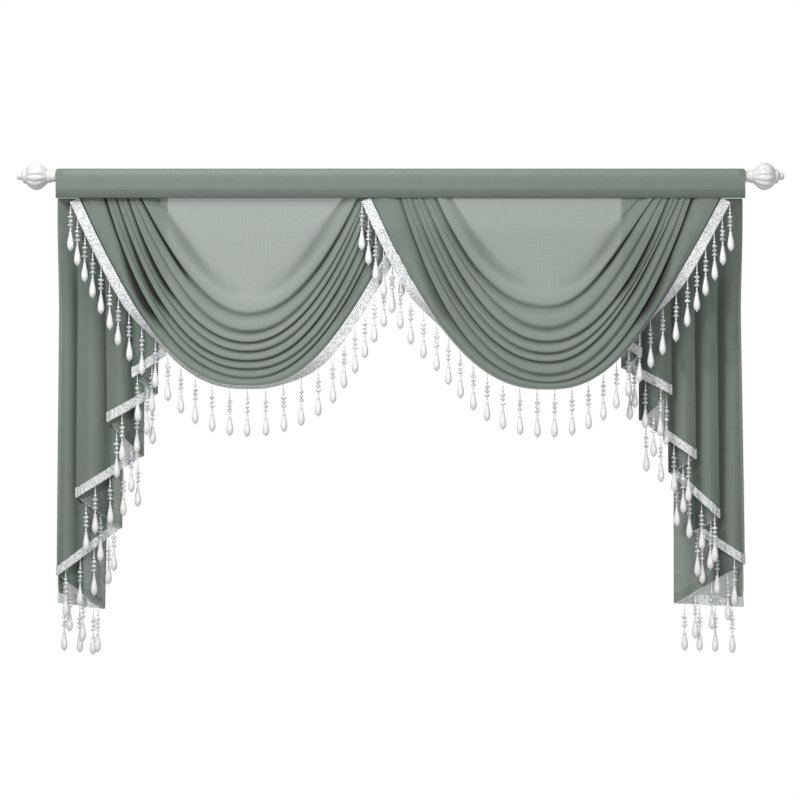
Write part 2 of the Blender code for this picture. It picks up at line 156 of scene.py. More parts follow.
# From here on a row has the plies of the sides: 1 at the seam and 0 in the middle.
GATHERED_FROM = 0.8
# The plies of a flat top for which the numbers above hold. A swag with more has more all over.
PLIES_TOP = 1.2
# How many more plies lie in a crease beside a pleat with this relief: partly denser cloth and partly
# painted shade that darkens the crease. A larger CREASE_NARROW makes the dark crease narrower, and a
# larger CREASE_GROWTH leaves a shallow one lighter.
CREASE_SHADE_PLIES = 2.4
DEEP_CREASE = 3.6 * MM
CREASE_NARROW = 3.0
CREASE_GROWTH = 1.5
# The painted shadow in the slit below a fold line at the swag's sides, a row for each line: how wide
# it is at the seam and where it opens out (mm). The last row is a painted shadow line along the hem,
# beside the braid.
SLIT_COLUMNS = ("at_seam", "opened")
SLIT_SHADOWS = (
    (0.0, 0.0), (0.8, 0.8), (0.0, 0.0), (1.0, 1.8), (0.0, 0.0),
    (0.9, 2.4), (0.0, 0.0), (1.0, 5.5), (5.0, 5.0),
)
# Where a slit's painted shadow starts to open, is widest and closes: 1 at the seam and 0 in the swag's
# middle.
SLIT_OPENS = 0.88
SLIT_WIDEST = 0.54
SLIT_CLOSES = 0.34
SLIT_CLOSING = 0.2
# The share of a pleat that lies hidden under the pleat above it.
SLIT_HIDDEN = 0.08
# Above its fold line a slit's shade fades this much faster than below it.
SLIT_ABOVE = 4.0
# From and up to how many plies the cloth's colour is darkened: painted shade for deep gathers, creases,
# slits and tucks.
PLIES_LIT = 1.6
PLIES_DARK = 8.0

# How a swag stands in the stack of cloth (mm and degrees).
# seam_depth: its place behind the rod's axis, so a minus is in front. lead, belly: how far it comes
# forward just below the seam, and then bulges. drops: how many hang from its braid.
# turn_under: how far the braid turns back under the middle. turn_left, turn_right: where it is half
# turned, 0 at the end of the hem and 1 in its middle. lean: how far the tips of the drops at the
# seam lean into the room. plies_top: the plies of the flat top.
# slit_shadow_left, slit_shadow_right: how dark the painted shadow in the slits between its pleats is, in
# added plies.
SWAG_STAND_COLUMNS = (
    "seam_depth", "lead", "belly", "drops", "turn_under", "turn_left", "turn_right", "lean",
    "plies_top", "slit_shadow_left", "slit_shadow_right",
)
LEFT_STAND = (-4.0, 3.0, 26.0, 31, 72.0, 0.50, 0.75, 3.0, 1.2, 6.5, 2.2)
# The right swag's flat top has more plies than the left one's, a painted shade for the weaker light on
# that side.
RIGHT_STAND = (-9.2, 12.0, 30.0, 32, 86.0, 0.42, 0.40, 10.0, 1.45, 3.0, 5.5)
# How far below the seam the lead is complete, the belly is measured and the drops hang plumb.
LEAD_REACH = 60.0 * MM
BELLY_REACH = 300.0 * MM
LEAN_REACH = 90.0 * MM
# The share of half a hem over which the braid turns under.
TURN_SPAN = 0.28
# How finely a swag is drawn.
CURVE_SAMPLES = 481
POINTS_PER_DROP = 6
ROWS_PER_PLEAT = 12
FLAT_TOP_ROWS = 24

# Folds of a tail from the room side to the wall side, a row for each (mm).
# top, hem: where the fold is at the seam and at the hem. drop: how far it hangs below the seam.
# count, first, step: the bead drops on the layer that starts at this fold.
TAIL_COLUMNS = ("top", "hem", "drop", "count", "first", "step")
LEFT_TAIL = (
    (-372, -372, 236, 2, 27, 28),
    (-429, -430, 270, 1, 27, 0),
    (-384, -389, 298, 3, 8, 28),
    (-477, -472, 342, 2, 22, 33),
    (-410, -413, 398, 4, 9, 28),
    (-518, -524, 464, 3, 20, 29),
    (-444, -449, 514, 4, 27, 30),
    (-550, -557, 591, 3, 27, 30),
    (-465, -479, 646, 3, 17, 26),
    (-550, -559, 636, 0, 0, 0),
)
RIGHT_TAIL = (
    (352, 352, 220, 1, 12, 0),
    (387, 386, 238, 1, 10, 0),
    (356, 354, 256, 3, 14, 28),
    (434, 436, 298, 2, 10, 29),
    (384, 384, 340, 4, 11, 29),
    (472, 477, 402, 1, 25, 0),
    (428, 433, 425, 4, 15, 29),
    (510, 517, 498, 2, 17, 25),
    (466, 473, 520, 3, 17, 33),
    (549, 560, 574, 3, 32, 32),
    (444, 445, 638, 4, 15, 28),
    (550, 562, 644, 0, 0, 0),
)
# How far behind the rod's axis the first layer starts, and the distance from each layer to the
# next: in the seam, where they are open, and how far below the seam that is.
TAIL_DEPTH = 0.2 * MM
LAYER_PITCH_TOP = 1.4 * MM
LAYER_PITCH_HEM = 7.0 * MM
LAYER_OPEN_REACH = 200.0 * MM
# A layer stops short of its folds by this share of the distance, and round folds fill that in.
FOLD_DRAW_IN = 0.4
# How finely a tail is drawn: across a layer, round a fold, down to where the layers are open and
# on to the hem.
PANEL_STEPS = 14
TURN_STEPS = 6
OPENING_ROWS = 18
OPEN_ROWS = 38
# A layer bulges forward beside its outer fold and falls back behind the fold in front of it. The
# innermost one hangs nearly flat behind the swag's bead drops: INNER_RISE is its share.
# RISE_REACH: how far below the seam the bulge is complete. A smaller BULGE_LEAN moves its top
# towards the outer fold. FALL_BACK_WIDTH: over what width a layer falls back.
PANEL_RISE = 8.0 * MM
INNER_RISE = 0.1
RISE_REACH = 160.0 * MM
BULGE_LEAN = 0.6
FALL_BACK_WIDTH = 14.0 * MM
# How many more plies the tuck behind the fold in front adds, a painted shade that darkens the layer
# there, and where that shade begins.
TUCK_SHADE_PLIES = 5.0
TUCK_START = 0.3

# A braid starts just below the hem's line. On a swag it continues the cloth. On a tail it lies on
# the cloth, which goes on behind it and stops a little above the braid's lower edge.
BRAID_WIDTH = 16.0 * MM
BRAID_GAP = 0.8 * MM
BRAID_THICKNESS = 0.9 * MM
BRAID_OFF_CLOTH = 0.9 * MM
BRAID_SHOWS = 1.2 * MM
PLAIT_PITCH = 3.5 * MM
PLAIT_STEPS = 4
PLAIT_ROWS = 12
PLAIT_RELIEF = 0.35 * MM
# Each strand of the plait: where it lies across the braid, and which way it leans. Then half the
# width of a strand and its slant, and the cord along each edge: how far it lies from the middle,
# half its width and its height.
STRANDS = ((0.29, 1.0), (0.71, -1.0))
STRAND_WIDTH = 0.2
STRAND_SLANT = 2.2
CORD_PLACE = 0.44
CORD_WIDTH = 0.06
CORD_HEIGHT = 0.8
# The small loops along both edges, and how far from the middle they start, the edge being 0.5.
PICOT = 0.7 * MM
PICOT_FROM = 0.42
ROOT_WIDTH = 2.4 * MM

# What is threaded on a bead drop, from its root to its tip (mm). A profile is a list of how far
# below the root it is, and its radius there.
DROP_LENGTH = 77.0
THREAD = ((0.0, 0.45), (48.0, 0.45))
SEED_CENTRES = (7.4, 10.6, 15.2, 41.0, 44.2, 75.8)
SEED_RADII = (1.2, 1.5, 2.2, 1.9, 1.6, 1.1)
CRYSTAL_CENTRES = (21.9, 28.6, 35.3)
CRYSTAL_WIDTHS = (1.0, 0.86, 1.0)
CRYSTAL = ((-3.3, 0.9), (-0.5, 4.7), (0.5, 4.7), (3.3, 0.9))
CAP = ((45.4, 1.0), (46.0, 2.3), (50.2, 2.8), (50.8, 2.3))
PEARL = (
    (49.6, 2.5), (52.0, 3.0), (55.5, 3.7), (60.0, 4.7), (64.5, 5.3),
    (68.5, 5.3), (71.8, 4.5), (74.2, 3.0), (75.4, 0.8),
)
# The rings that a seed bead is drawn with, in degrees from its top.
SEED_RINGS = (15.0, 50.0, 90.0, 130.0, 165.0)
# How far a drop swings sideways at most, as a share of its length.
DROP_SWING = 0.012
THREAD_SIDES = 5
SEED_SIDES = 8
CRYSTAL_SIDES = 6
CAP_SIDES = 10
PEARL_SIDES = 14

# A finial is turned about the rod's axis, from its neck to its tip (mm). fluted: depth of its ribs.
FINIAL_START = 550.0 * MM
FINIAL_COLUMNS = ("along", "radius", "fluted")
FINIAL = (
    (0.0, 9.4, 0.0), (3.0, 8.9, 0.0), (6.0, 8.7, 0.0), (8.5, 9.0, 0.0), (9.6, 9.9, 0.0),
    (10.6, 10.6, 0.0), (12.0, 10.7, 0.0), (13.2, 10.1, 0.0), (14.2, 10.0, 0.1), (16.0, 11.9, 0.4),
    (18.5, 14.4, 0.8), (21.5, 17.3, 1.0), (25.0, 19.9, 1.0), (29.0, 21.7, 1.0), (33.5, 22.2, 1.0),
    (37.5, 21.5, 1.0), (41.0, 20.0, 1.0), (44.0, 17.6, 1.0), (46.3, 14.8, 0.7), (47.8, 12.4, 0.2),
    (48.6, 11.2, 0.0), (49.6, 11.4, 0.0), (51.0, 11.7, 0.0), (52.4, 11.4, 0.0), (53.4, 10.2, 0.0),
    (54.2, 8.0, 0.0), (55.2, 6.2, 0.0), (57.0, 5.6, 0.0), (61.0, 5.6, 0.0), (63.0, 4.6, 0.0),
    (64.0, 3.0, 0.0),
)
FINIAL_RIBS = 12
SIDES_PER_RIB = 8
# How deep the groove between two ribs is, as a share of the radius, from its middle to the rib's.
RIB_DEPTHS = (0.115, 0.055, 0.02, 0.004, 0.0)
# A point this near to a stage's place belongs to that stage.
SAME_STAGE = 0.05 * MM


def named_rows(columns, rows):
    """A table's rows, each value under its column's name."""
    return [dict(zip(columns, row)) for row in rows]


def ease(value):
    """A smooth step from 0 to 1."""
    inside = np.clip(value, 0.0, 1.0)
    return inside * inside * (3.0 - 2.0 * inside)


def unit(vectors):
    return vectors / np.linalg.norm(vectors, axis=-1, keepdims=True)


def running_length(points):
    """The length along a line of points, from its first point to each."""
    steps = np.linalg.norm(np.diff(points, axis=0), axis=-1)
    return np.concatenate((np.zeros((1,) + steps.shape[1:]), np.cumsum(steps, axis=0)))


# ---------------------------------------------------------------- finishes

# One ply of voile hides this share of what is behind it, and the darkest painted crease shade keeps
# this share of the colour.
VOILE_ALPHA = 0.48
CREASE_SHADE = 0.06
VOILE_LIGHT = "#8b978e"
VOILE_SHADE = "#79857c"
YARNS_APART = 2.2 * MM
SLUBS_PER_METRE = 60.0
# A wave texture at scale 1 has this many radians to a metre.
WAVE_RADIANS = 20.0

# The braid's flecks run between these tones: partly its yarns' own tones, partly painted glitter.
BRAID_LIGHT = "#e2e4e4"
BRAID_SHADE = "#a6abab"
FLECKS_APART = 1.6 * MM

# The clearest facet hides this share of what is behind it. A larger GLINTS_RARE makes fewer glint.
FACET_CLEAR = 0.3
# Painted reflection and painted glint: a facet's colour runs from FACET_SHADE to FACET_GLINT.
FACET_SHADE = "#b4bcbd"
FACET_GLINT = "#ffffff"
GLINTS_RARE = 1.15


def linear(hex_colour):
    """An sRGB hex colour as linear red, green, blue and 1."""
    parts = [int(hex_colour[start:start + 2], 16) / 255.0 for start in (1, 3, 5)]
    light = [part / 12.92 if part <= 0.04045 else ((part + 0.055) / 1.055) ** 2.4 for part in parts]
    return light + [1.0]


def add_node(tree, kind, settings=None, links=None):
    """Adds a node. settings: its own properties or input values. links: input to (node, output)."""
    node = tree.nodes.new(kind)
    for name, value in (settings or {}).items():
        if isinstance(name, int) or name in node.inputs:
            node.inputs[name].default_value = value
        else:
            setattr(node, name, value)
    for name, (source, output) in (links or {}).items():
        tree.links.new(source.outputs[output], node.inputs[name])
    return node


def new_finish(name, **plain):
    """A material with a Principled shader and these plain values on its sockets."""
    finish = bpy.data.materials.new(name)
    finish.use_nodes = True
    shader = finish.node_tree.nodes["Principled BSDF"]
    for socket, value in plain.items():
        shader.inputs[socket.replace("_", " ")].default_value = value
    return finish, finish.node_tree, shader


def voile_finish():
    """Polyester voile: a plain weave of fine twisted yarn, matt and see-through.

    The yarns are about 0.35 mm apart and are drawn 2.2 mm apart, about the finest that shows. Slubs
    about 17 mm apart cloud them. Where more plies lie on each other the cloth hides more of what is
    behind it, and past PLIES_LIT its colour is darkened as painted shade.
    """
    finish, tree, shader = new_finish(
        "polyester_voile_woven",
        Roughness=0.82, Specular_IOR_Level=0.3, Sheen_Weight=0.12, Sheen_Roughness=0.45,
    )
    plies = add_node(tree, "ShaderNodeAttribute", {"attribute_name": "plies"})
    # Painted shade: the colour darkens from PLIES_LIT to PLIES_DARK plies.
    painted_shade = add_node(
        tree, "ShaderNodeMapRange",
        {"From Min": PLIES_LIT, "From Max": PLIES_DARK, "To Min": 1.0, "To Max": CREASE_SHADE},
        {"Value": (plies, "Fac")},
    )
    passed = add_node(
        tree, "ShaderNodeMath", {"operation": "POWER", 0: 1.0 - VOILE_ALPHA}, {1: (plies, "Fac")},
    )
    held = add_node(tree, "ShaderNodeMath", {"operation": "SUBTRACT", 0: 1.0}, {1: (passed, 0)})
    tree.links.new(held.outputs[0], shader.inputs["Alpha"])
    place = add_node(tree, "ShaderNodeUVMap", {"uv_map": "cloth"})
    yarn_scale = 2.0 * math.pi / YARNS_APART / WAVE_RADIANS
    warp, weft = [
        add_node(
            tree, "ShaderNodeTexWave",
            {"bands_direction": way, "Scale": yarn_scale, "Distortion": 0.6, "Detail Scale": 3.0},
            {"Vector": (place, "UV")},
        )
        for way in ("X", "Y")
    ]
    slubs = add_node(
        tree, "ShaderNodeTexNoise",
        {"Scale": SLUBS_PER_METRE, "Detail": 3.0, "Roughness": 0.6},
        {"Vector": (place, "UV")},
    )
    weave = add_node(
        tree, "ShaderNodeMath", {"operation": "MULTIPLY"}, {0: (warp, "Fac"), 1: (weft, "Fac")},
    )
    mixed = add_node(
        tree, "ShaderNodeMath", {"operation": "MULTIPLY_ADD", 1: 0.5},
        {0: (slubs, "Fac"), 2: (weave, 0)},
    )
    shade = add_node(tree, "ShaderNodeValToRGB", {}, {"Fac": (mixed, 0)})
    shade.color_ramp.elements[0].position = 0.1
    shade.color_ramp.elements[0].color = linear(VOILE_SHADE)
    shade.color_ramp.elements[1].position = 1.0
    shade.color_ramp.elements[1].color = linear(VOILE_LIGHT)
    relief = add_node(
        tree, "ShaderNodeBump", {"Strength": 0.12, "Distance": 0.1 * MM}, {"Height": (weave, 0)},
    )
    scaled = add_node(
        tree, "ShaderNodeVectorMath", {"operation": "SCALE"},
        {0: (shade, "Color"), "Scale": (painted_shade, "Result")},
    )
    tree.links.new(scaled.outputs[0], shader.inputs["Base Color"])
    tree.links.new(relief.outputs["Normal"], shader.inputs["Normal"])
    return finish


def braid_finish():
    """Braid of white viscose and silver metallic yarn, flecked by its yarns' tones and painted glitter.
    """
    finish, tree, shader = new_finish("metallic_braid_plaited", Roughness=0.42, Sheen_Weight=0.2)
    place = add_node(tree, "ShaderNodeTexCoord")
    flecks = add_node(
        tree, "ShaderNodeTexVoronoi", {"Scale": 1.0 / FLECKS_APART}, {"Vector": (place, "Object")},
    )
    ramp = add_node(tree, "ShaderNodeValToRGB", {}, {"Fac": (flecks, "Color")})
    ramp.color_ramp.elements[0].position = 0.3
    ramp.color_ramp.elements[0].color = linear(BRAID_SHADE)
    ramp.color_ramp.elements[1].position = 0.6
    ramp.color_ramp.elements[1].color = linear(BRAID_LIGHT)
    relief = add_node(
        tree, "ShaderNodeBump", {"Strength": 0.5, "Distance": 0.3 * MM}, {"Height": (flecks, "Distance")},
    )
    tree.links.new(ramp.outputs["Color"], shader.inputs["Base Color"])
    tree.links.new(relief.outputs["Normal"], shader.inputs["Normal"])
    return finish


def clear_finish():
    """Clear cut acrylic: facets painted between grey reflection and white glint, some see-through."""
    finish, tree, shader = new_finish("clear_acrylic_faceted", Roughness=0.06, IOR=1.49, Coat_Weight=0.5)
    painted_glint = add_node(tree, "ShaderNodeAttribute", {"attribute_name": "painted_glint"})
    tone = add_node(tree, "ShaderNodeValToRGB", {}, {"Fac": (painted_glint, "Fac")})
    tone.color_ramp.elements[0].color = linear(FACET_SHADE)
    tone.color_ramp.elements[1].color = linear(FACET_GLINT)
    held = add_node(
        tree, "ShaderNodeMapRange", {"To Min": FACET_CLEAR, "To Max": 1.0}, {"Value": (painted_glint, "Fac")},
    )
    tree.links.new(tone.outputs["Color"], shader.inputs["Base Color"])
    tree.links.new(held.outputs["Result"], shader.inputs["Alpha"])
    return finish


def mottled_finish(name, light, shade, clouds_per_metre, bump, **plain):
    """A smooth finish whose colour drifts a little between two near tones."""
    finish, tree, shader = new_finish(name, **plain)
    place = add_node(tree, "ShaderNodeTexCoord")
    clouds = add_node(
        tree, "ShaderNodeTexNoise",
        {"Scale": clouds_per_metre, "Detail": 3.0},
        {"Vector": (place, "Object")},
    )
    ramp = add_node(tree, "ShaderNodeValToRGB", {}, {"Fac": (clouds, "Fac")})
    ramp.color_ramp.elements[0].position = 0.35
    ramp.color_ramp.elements[0].color = linear(shade)
    ramp.color_ramp.elements[1].position = 0.65
    ramp.color_ramp.elements[1].color = linear(light)
    relief = add_node(
        tree, "ShaderNodeBump", {"Strength": bump, "Distance": 0.1 * MM}, {"Height": (clouds, "Fac")},
    )
    tree.links.new(ramp.outputs["Color"], shader.inputs["Base Color"])
    tree.links.new(relief.outputs["Normal"], shader.inputs["Normal"])
    return finish


# Satin enamel sprayed on a steel rod: nearly even, in clouds about 4.5 mm wide, with a soft shine.
rod_finish = mottled_finish(
    "satin_enamel_sprayed", "#f2f2f0", "#ebebe9", clouds_per_metre=220.0, bump=0.05,
    Roughness=0.35,
)
# Resin moulded and lacquered white: clouds about 6 mm wide, under a clear coat that shines.
finial_finish = mottled_finish(
    "white_resin_moulded", "#dddddc", "#cfcfce", clouds_per_metre=160.0, bump=0.08,
    Roughness=0.28, Coat_Weight=0.4, Coat_Roughness=0.15,
)
# Imitation pearl, a plastic core dipped in lacquer with mica: clouds about 4 mm wide, glossy.
pearl_finish = mottled_finish(
    "pearl_lacquer_dipped", "#ecedeb", "#dedfde", clouds_per_metre=260.0, bump=0.03,
    Roughness=0.22, Coat_Weight=0.6, Coat_Roughness=0.08, Sheen_Weight=0.15,
)
crystal_finish = clear_finish()
# Plastic seed beads and caps plated thinly with silver, on white thread: clouds 2.5 mm wide.
link_finish = mottled_finish(
    "silvered_beads_plated", "#f0f1f2", "#dfe1e2", clouds_per_metre=400.0, bump=0.1,
    Roughness=0.3, Metallic=0.15,
)
cloth_finish = voile_finish()
trim_finish = braid_finish()


# ---------------------------------------------------------------- making meshes


def new_piece(name, points, faces, finish, sharp_degrees=None):
    """A piece of these points and faces. It is flat shaded where no angle is given."""
    mesh = bpy.data.meshes.new(name)
    mesh.from_pydata([tuple(point) for point in points], [], faces)
    mesh.materials.append(finish)
    if sharp_degrees is None:
        mesh.shade_flat()
    else:
        mesh.shade_smooth()
        mesh.set_sharp_from_angle(angle=math.radians(sharp_degrees))
    piece = bpy.data.objects.new(name, mesh)
    bpy.context.scene.collection.objects.link(piece)
    return piece


def point_outward(piece):
    """Turns the faces of a piece's closed bodies outwards."""
    bpy.ops.object.select_all(action="DESELECT")
    bpy.context.view_layer.objects.active = piece
    piece.select_set(True)
    bpy.ops.object.mode_set(mode="EDIT")
    bpy.ops.mesh.select_all(action="SELECT")
    bpy.ops.mesh.normals_make_consistent(inside=False)
    bpy.ops.object.mode_set(mode="OBJECT")
    piece.select_set(False)


def sheet_normals(grid):
    """Directions square to a sheet, one for each grid point. A pinched corner faces the room."""
    square = np.cross(np.gradient(grid, axis=0), np.gradient(grid, axis=1))
    square[np.linalg.norm(square, axis=-1) < 1e-12] = (0.0, -1.0, 0.0)
    return unit(square)


def shell(grid, thickness, ring=False):
    """Points and faces of a closed sheet about a grid. ring: its last row joins its first."""
    rows, columns = grid.shape[:2]
    if ring:
        doubled = np.concatenate((grid[-1:], grid, grid[:1]))
        shift = sheet_normals(doubled)[1:-1] * (thickness / 2.0)
    else:
        shift = sheet_normals(grid) * (thickness / 2.0)
    points = np.concatenate(((grid + shift).reshape(-1, 3), (grid - shift).reshape(-1, 3)))
    behind = rows * columns
    row_count = rows if ring else rows - 1
    upper_rows = np.arange(row_count)
    lower_rows = (upper_rows + 1) % rows
    places = np.arange(columns - 1)
    above = (upper_rows[:, None] * columns + places[None, :]).ravel()
    below = (lower_rows[:, None] * columns + places[None, :]).ravel()
    round_each = np.stack((above, below, below + 1, above + 1), axis=-1)
    turned_round = np.stack((above, above + 1, below + 1, below), axis=-1)
    faces = np.concatenate((round_each, turned_round + behind)).tolist()
    for column, flip in ((0, True), (columns - 1, False)):
        for upper, lower in zip(upper_rows, lower_rows):
            first = int(upper * columns + column)
            second = int(lower * columns + column)
            rim = (first, second, second + behind, first + behind)
            faces.append(rim[::-1] if flip else rim)
    if not ring:
        for row, flip in ((0, False), (rows - 1, True)):
            for place in range(columns - 1):
                first = row * columns + place
                rim = (first, first + 1, first + 1 + behind, first + behind)
                faces.append(rim[::-1] if flip else rim)
    return points, faces


def weave_map(piece, grids):
    """A UV map in metres along the weave, for one or more grids that make the piece's shells."""
    spots = []
    for grid in grids:
        across = running_length(np.swapaxes(grid, 0, 1)).T
        across = across - across[:, -1:] / 2.0
        down = running_length(grid)
        flat = np.stack((across, down), axis=-1).reshape(-1, 2)
        spots += [flat, flat]
    spots = np.concatenate(spots)
    corners = np.empty(len(piece.data.loops), dtype=np.int32)
    piece.data.loops.foreach_get("vertex_index", corners)
    layer = piece.data.uv_layers.new(name="cloth")
    layer.data.foreach_set("uv", spots[corners].astype(np.float32).ravel())


def lay_plies(piece, sheets):
    """Notes how many plies of voile lie at each point of each sheet, on both of its faces."""
    layer = piece.data.attributes.new("plies", "FLOAT", "POINT")
    both_faces = np.concatenate([np.tile(np.ravel(plies), 2) for plies in sheets])
    layer.data.foreach_set("value", both_faces.astype(np.float32))


def joined(parts):
    """Points and faces of several closed bodies as one list of each."""
    points = []
    faces = []
    start = 0
    for part_points, part_faces in parts:
        points.append(np.asarray(part_points))
        faces += [tuple(index + start for index in face) for face in part_faces]
        start += len(part_points)
    return np.concatenate(points), faces


def belongs(piece, slot, *nodes):
    """The piece rides on the one body and stands for these nodes. slot: not used."""
    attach(piece, "root")
    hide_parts(*nodes)


# ---------------------------------------------------------------- camera, stage and light

# How strongly the surround lights the drape. The camera sees it white, at strength 1.
ROOM_LIGHT = 0.3
FLOOR_SIZE = 6.0
FLOOR_HEIGHT = -2.2
# Each lamp's name, place, target, size (m) and power (W).
LAMPS = (
    ("key_light", (-1.7, -2.0, 1.4), (0.0, 0.0, -0.3), (0.6, 0.6), 56.0),
    ("fill_light", (1.2, -2.8, -0.2), (0.3, 0.0, -0.3), (1.4, 1.4), 28.0),
    ("top_light", (-0.2, -0.7, 1.2), (0.0, 0.0, 0.0), (0.9, 0.3), 12.0),
)


def aim(item, target):
    """Turns a lamp from its own place to face a target."""
    item.rotation_euler = (Vector(target) - item.location).to_track_quat("-Z", "Y").to_euler()


def set_camera():
    """A camera square to the drape, as far away as its view's width asks."""
    data = bpy.data.cameras.new("camera")
    data.lens = CAMERA_LENS
    data.sensor_width = CAMERA_SENSOR
    camera = bpy.data.objects.new("camera", data)
    away = VIEW_WIDTH * CAMERA_LENS / CAMERA_SENSOR
    camera.location = VIEW_CENTRE + Vector((0.0, -away, 0.0))
    camera.rotation_euler = (math.radians(90.0), 0.0, 0.0)
    bpy.context.scene.collection.objects.link(camera)
    bpy.context.scene.camera = camera


def add_lamp(name, place, target, size, power):
    data = bpy.data.lights.new(name, "AREA")
    data.shape = "RECTANGLE"
    data.size, data.size_y = size
    data.energy = power
    lamp = bpy.data.objects.new(name, data)
    lamp.location = place
    bpy.context.scene.collection.objects.link(lamp)
    aim(lamp, target)


def set_studio():
    """A surround that shows white and lights softly, three lamps and a pale floor."""
    scene = bpy.context.scene
    scene.view_settings.view_transform = "Standard"
    world = bpy.data.worlds.new("studio")
    scene.world = world
    world.use_nodes = True
    tree = world.node_tree
    path = add_node(tree, "ShaderNodeLightPath")
    shown = add_node(tree, "ShaderNodeMix", {"data_type": "FLOAT", "A": ROOM_LIGHT, "B": 1.0})
    tree.links.new(path.outputs["Is Camera Ray"], shown.inputs["Factor"])
    tree.nodes["Background"].inputs["Color"].default_value = (1.0, 1.0, 1.0, 1.0)
    tree.links.new(shown.outputs[0], tree.nodes["Background"].inputs["Strength"])
    for lamp in LAMPS:
        add_lamp(*lamp)
    bpy.ops.mesh.primitive_plane_add(size=FLOOR_SIZE, location=(0.0, 0.0, FLOOR_HEIGHT))
    floor = bpy.context.object
    floor.name = "pale_floor"
    floor.data.materials.append(mottled_finish(
        "pale_floor_matt", "#f2f2f0", "#eeeeec", clouds_per_metre=3.0, bump=0.0, Roughness=0.8,
    ))


# ---------------------------------------------------------------- heading


def pocket_ring(offset, squash, lip=0.0):
    """The pocket's section in Y and Z: over the rod, down both sides and across the seam.

    lip: how far its front edge laps below the seam.
    """
    radius = ROD_RADIUS + POCKET_EASE + POCKET_MIDDLE + offset
    over = [math.radians(180.0 - 180.0 * step / OVER_STEPS) for step in range(OVER_STEPS + 1)]
    ring = [(radius * math.cos(turn), (radius - squash) * math.sin(turn)) for turn in over]
    floor = SEAM_HEIGHT + POCKET_MIDDLE
    down = np.linspace(0.0, 1.0, SIDE_STEPS + 1)
    for share in down[1:]:
        ring.append((radius + (SEAM_BACK - radius) * share, floor * share))
    lip_back = SEAM_FRONT + (LIP_WIDTH if lip else 0.0)
    for share in np.linspace(0.0, 1.0, SEAM_STEPS + 1)[1:]:
        ring.append((SEAM_BACK + (lip_back - SEAM_BACK) * share, floor))
    if lip:
        ring += [(lip_back, floor - lip), (SEAM_FRONT, floor - lip), (SEAM_FRONT, floor)]
    for share in down[1:-1]:
        ring.append((SEAM_FRONT + (-radius - SEAM_FRONT) * share, floor * (1.0 - share)))
    return np.array(ring)


def build_heading():
    """The rod pocket, with its turned side hems and the seam allowance inside it."""
    columns = []
    for x in np.linspace(-VALANCE_HALF_WIDTH, VALANCE_HALF_WIDTH, POCKET_COLUMNS):
        in_corner = max(0.0, 1.0 - (VALANCE_HALF_WIDTH - abs(x)) / CORNER_LENGTH)
        squash = CORNER_DROP * (1.0 - math.sqrt(max(0.0, 1.0 - in_corner ** 2)))
        section = pocket_ring(0.0, squash, LIP_DROP)
        fallen = np.clip(section[:, 1] / SEAM_HEIGHT, 0.0, 1.0)
        hang = 4.0 * fallen * (1.0 - fallen)
        wave = sum(share * math.sin(x * rate + start) for share, rate, start in RIPPLES)
        y = section[:, 0] + POCKET_RIPPLE * wave * hang
        columns.append(np.stack((np.full(len(section), x), y, section[:, 1]), axis=-1))
    grid = np.swapaxes(np.array(columns), 0, 1)
    parts = [shell(grid, VOILE, ring=True)]
    grids = [grid]
    for side in (-1.0, 1.0):
        hem_x = side * np.linspace(VALANCE_HALF_WIDTH - SIDE_HEM, VALANCE_HALF_WIDTH, SIDE_HEM_COLUMNS)
        hem = np.array([[(x, y, z) for x in hem_x] for y, z in pocket_ring(-HEM_GAP, 0.0)[:-1]])
        parts.append(shell(hem, VOILE))
        grids.append(hem)
    inside = VALANCE_HALF_WIDTH - ALLOWANCE_INSET
    allowance_x = np.linspace(-inside, inside, ALLOWANCE_COLUMNS)
    allowance_z = np.linspace(ALLOWANCE_TOP, SEAM_HEIGHT + ALLOWANCE_ABOVE_SEAM, ALLOWANCE_ROWS)
    allowance = np.array([[(x, 0.0, z) for x in allowance_x] for z in allowance_z])
    parts.append(shell(allowance, VOILE))
    grids.append(allowance)
    piece = new_piece("voile_heading", *joined(parts), cloth_finish, sharp_degrees=60.0)
    weave_map(piece, grids)
    lay_plies(piece, [np.interp(grid[..., 2] / MM, POCKET_HEIGHTS, POCKET_PLIES) for grid in grids])
    point_outward(piece)
    belongs(piece, "sage_voile", "heading")


# ---------------------------------------------------------------- swags


def fold_line(upper, lower, share, ends):
    """A smooth line between two fold lines: its x, its fall and its slopes at these places."""
    def blend(column):
        return upper[column] + (lower[column] - upper[column]) * share

    inside = np.linspace(0.0, 1.0, CURVE_SAMPLES)
    edge = np.abs(2.0 * inside - 1.0)
    bow_end = np.where(inside < 0.5, blend("bow_left"), blend("bow_right"))
    bow = blend("bow_middle") + (bow_end - blend("bow_middle")) * edge
    x_line = (blend("left") + (blend("right") - blend("left")) * inside) * MM
    fall_line = blend("drop") * (1.0 - edge ** bow) * MM
    length = np.concatenate(([0.0], np.cumsum(np.hypot(np.diff(x_line), np.diff(fall_line)))))
    places = ends * length[-1]
    values = (x_line, fall_line, np.gradient(x_line, length), np.gradient(fall_line, length))
    return [np.interp(places, length, value) for value in values]


def line_gap(upper, lower, ends):
    """How far two fold lines are from each other at these places."""
    x_upper, fall_upper, _, _ = fold_line(upper, upper, 0.0, ends)
    x_lower, fall_lower, way_x, way_fall = fold_line(lower, lower, 0.0, ends)
    return np.abs((x_lower - x_upper) * way_fall - (fall_lower - fall_upper) * way_x)


def slit_shade(line, distance, seam_share):
    """The painted shadow in the slit below a fold line, from 0 to 1, at a distance from the line."""
    if not line["opened"]:
        return np.zeros_like(distance)
    closing = ease((seam_share - SLIT_CLOSES) / SLIT_CLOSING)
    opening = ease((SLIT_OPENS - seam_share) / (SLIT_OPENS - SLIT_WIDEST)) * closing
    width = (line["at_seam"] + (line["opened"] - line["at_seam"]) * opening) * MM
    return closing * np.exp(-(distance / width) ** 2)


